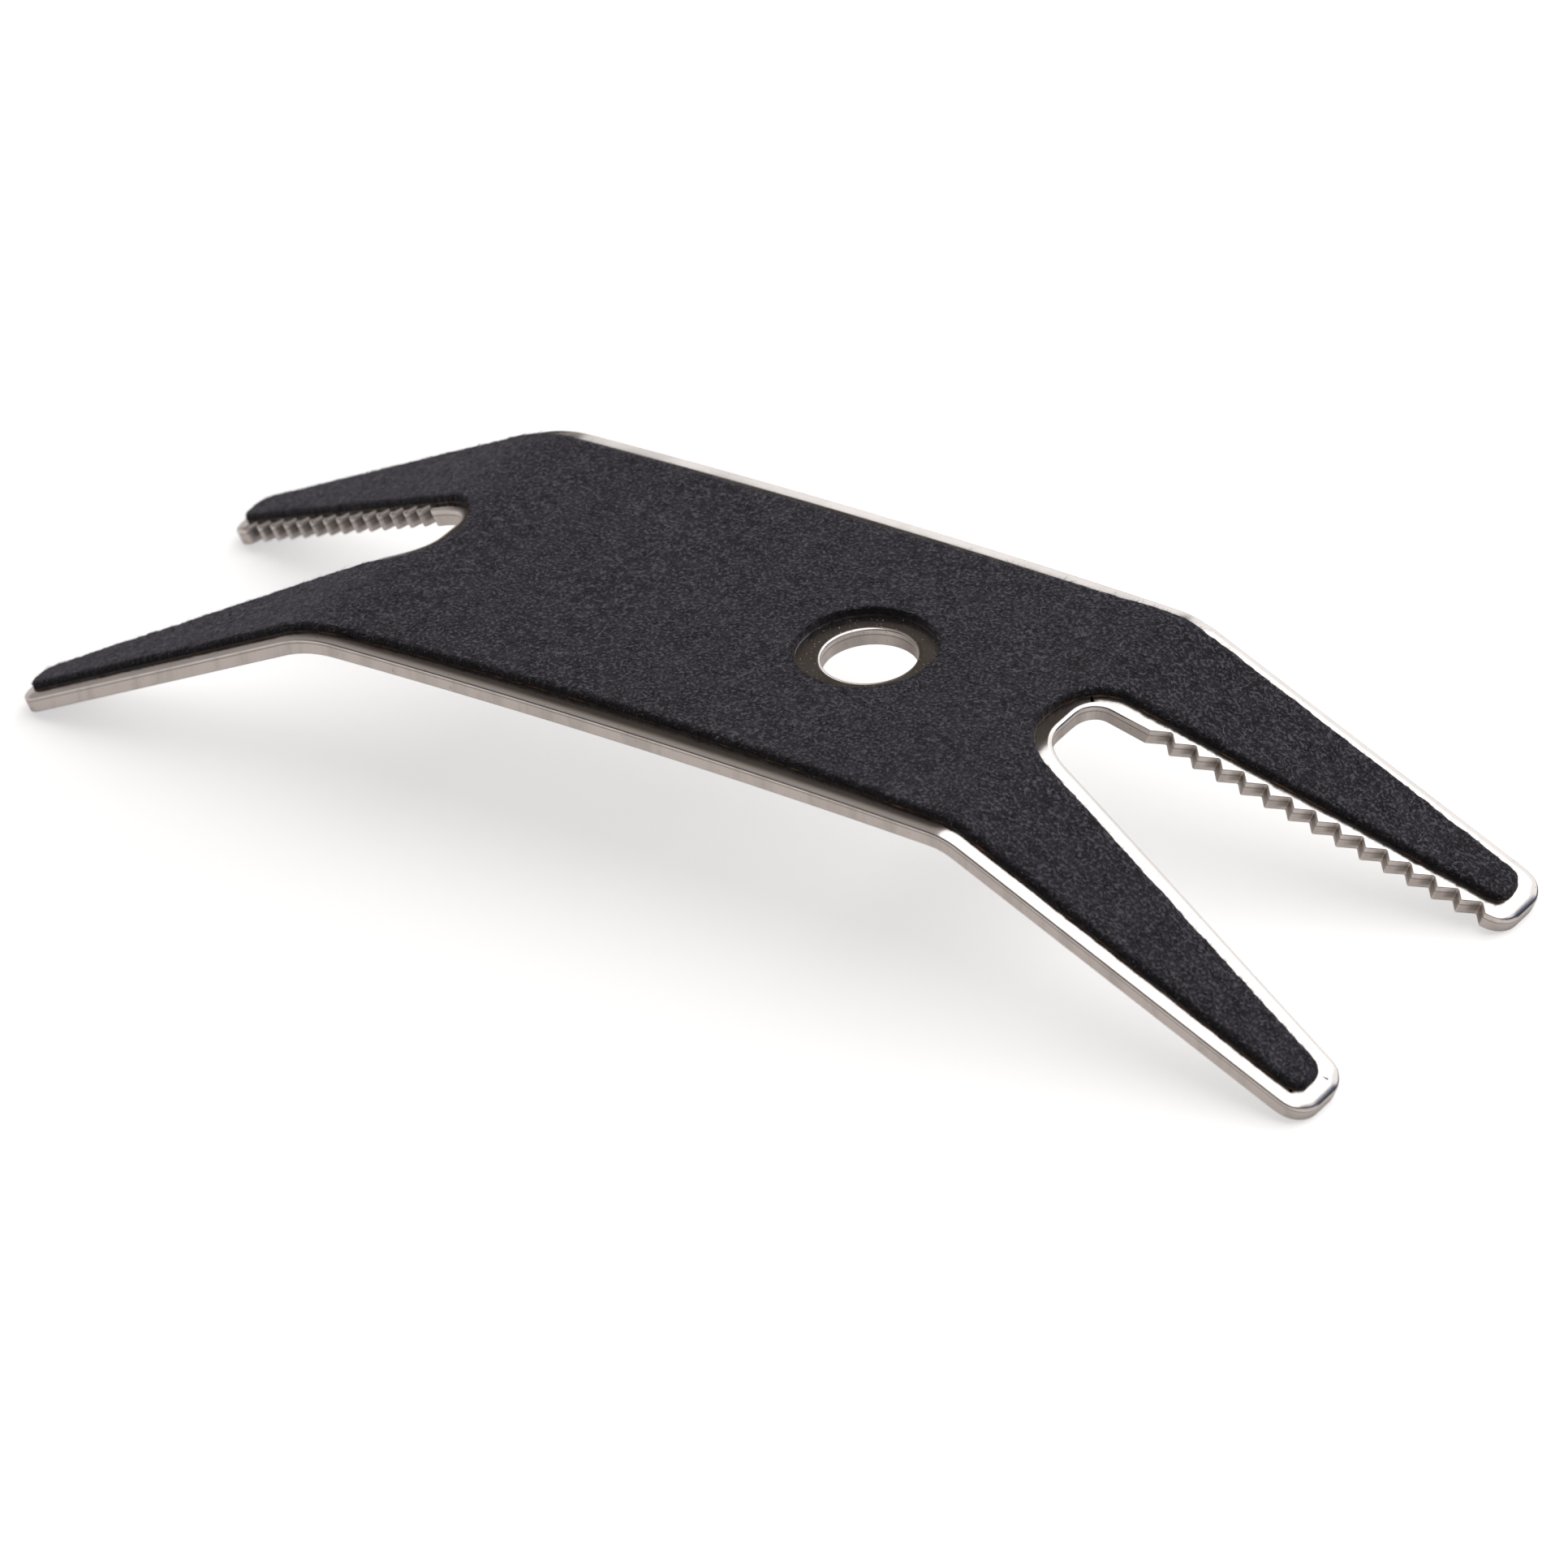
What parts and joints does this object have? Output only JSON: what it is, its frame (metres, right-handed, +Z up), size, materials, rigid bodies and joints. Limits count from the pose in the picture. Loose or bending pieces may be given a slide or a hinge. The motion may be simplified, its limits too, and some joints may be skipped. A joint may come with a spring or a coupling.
{
  "type": "double-ended open-jaw nut spanner",
  "caption": "Flat spanner of bent sheet steel with a V-shaped, partly toothed jaw at each end, a hanging hole and a soft suede protective pad.",
  "frame": {"origin": "centre of the round hole, on the top face of the steel plate", "axes": "+X along the plate's length towards the end nearer the hole, +Y across it towards the toothed jaw sides, +Z up through the suede pad, square to the web"},
  "size_m": [0.122, 0.0344, 0.0181],
  "materials": {
    "steel": "satin stamped stainless sheet with rounded, tumbled rims",
    "adhesive": "thin dark pressure-sensitive film",
    "suede": "charcoal microfibre suede with a short fine nap"
  },
  "bodies": {
    "root": {"steel_plate": "steel", "adhesive_film": "adhesive", "suede_pad": "suede"}
  },
  "joints": []
}
